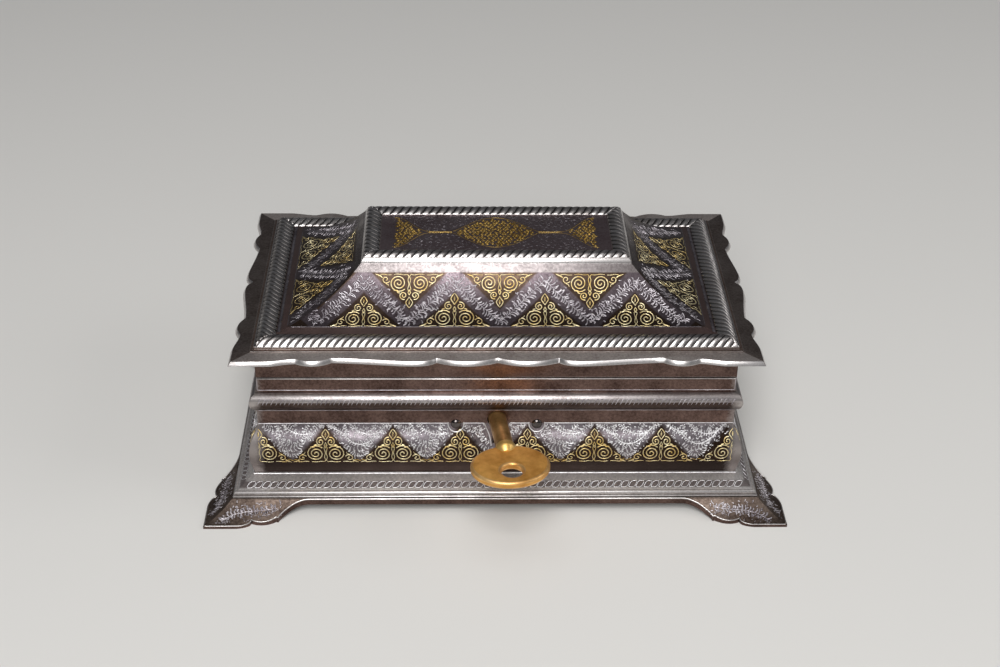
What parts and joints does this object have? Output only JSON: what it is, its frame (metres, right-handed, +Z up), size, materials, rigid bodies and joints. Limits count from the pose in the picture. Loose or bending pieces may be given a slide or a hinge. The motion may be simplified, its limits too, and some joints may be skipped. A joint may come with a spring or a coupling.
{
  "type": "koftgari jewelry box",
  "caption": "Small koftgari steel casket with hipped lid, scalloped flange, roped borders, ogee body, splayed feet, hinges, box lock with brass key and velvet lining.",
  "frame": {"origin": "on the surface the box stands on, under the middle of its overall footprint, the key in its lock included", "axes": "+X along the front towards the right, +Y from the front to the hinged back, +Z up"},
  "size_m": [0.148, 0.1096, 0.061],
  "materials": {
    "russet_steel": "browned steel with fine inlay, satin",
    "worn_steel": "browned steel worn bright on its edges",
    "lock_steel": "filed steel, satin",
    "brass": "tarnished brass, worn smooth",
    "velvet": "dark red cotton velvet"
  },
  "bodies": {
    "base": {"wall_front": "russet_steel", "wall_right": "russet_steel", "wall_back": "russet_steel", "wall_left": "russet_steel", "torus_moulding_front": "russet_steel", "torus_moulding_right": "russet_steel", "torus_moulding_back": "russet_steel", "torus_moulding_left": "russet_steel", "base_moulding_front": "worn_steel", "base_moulding_right": "worn_steel", "base_moulding_back": "worn_steel", "base_moulding_left": "worn_steel", "foot_skirt_front": "worn_steel", "foot_skirt_right": "worn_steel", "foot_skirt_back": "worn_steel", "foot_skirt_left": "worn_steel", "bottom_plate": "lock_steel", "hinge_leaf_base_left": "lock_steel", "hinge_leaf_base_right": "lock_steel", "hinge_pin_left": "lock_steel", "hinge_pin_right": "lock_steel", "lining_floor": "velvet", "lining_front": "velvet", "lining_right": "velvet", "lining_back": "velvet", "lining_left": "velvet", "lock_plate": "lock_steel", "lock_cap": "lock_steel", "lock_rivet_left": "worn_steel", "lock_rivet_right": "worn_steel", "bolt_spring": "lock_steel"},
    "lid": {"lid_skirt_front": "russet_steel", "lid_skirt_right": "russet_steel", "lid_skirt_back": "russet_steel", "lid_skirt_left": "russet_steel", "lid_flange_front": "worn_steel", "lid_flange_right": "worn_steel", "lid_flange_back": "worn_steel", "lid_flange_left": "worn_steel", "lower_rope_front": "worn_steel", "lower_rope_right": "worn_steel", "lower_rope_back": "worn_steel", "lower_rope_left": "worn_steel", "lid_slope_front": "russet_steel", "lid_slope_right": "russet_steel", "lid_slope_back": "russet_steel", "lid_slope_left": "russet_steel", "top_plate": "russet_steel", "upper_rope_front": "worn_steel", "upper_rope_right": "worn_steel", "upper_rope_back": "worn_steel", "upper_rope_left": "worn_steel", "hinge_leaf_lid_left": "lock_steel", "hinge_leaf_lid_right": "lock_steel", "lid_staple": "lock_steel"},
    "key": {"key": "brass"},
    "bolt": {"bolt": "brass"}
  },
  "joints": [
    {"name": "lid_hinge", "type": "hinge", "parent": "base", "child": "lid", "pos_m": [0, 0.04168, 0.03632], "axis": [-1, 0, 0], "range_deg": [0, 100]},
    {"name": "key_turn", "type": "hinge", "parent": "base", "child": "key", "pos_m": [0.00015, -0.02592, 0.024], "axis": [-0.1305, 0.9914, 0], "range_deg": [0, 180]},
    {"name": "bolt_slide", "type": "slide", "parent": "base", "child": "bolt", "axis": [1, 0, 0], "range_m": [0, 0.005]}
  ],
  "couplings": [
    {"joint": "bolt_slide", "follows": "key_turn", "m_per_rad": 0.00159}
  ]
}
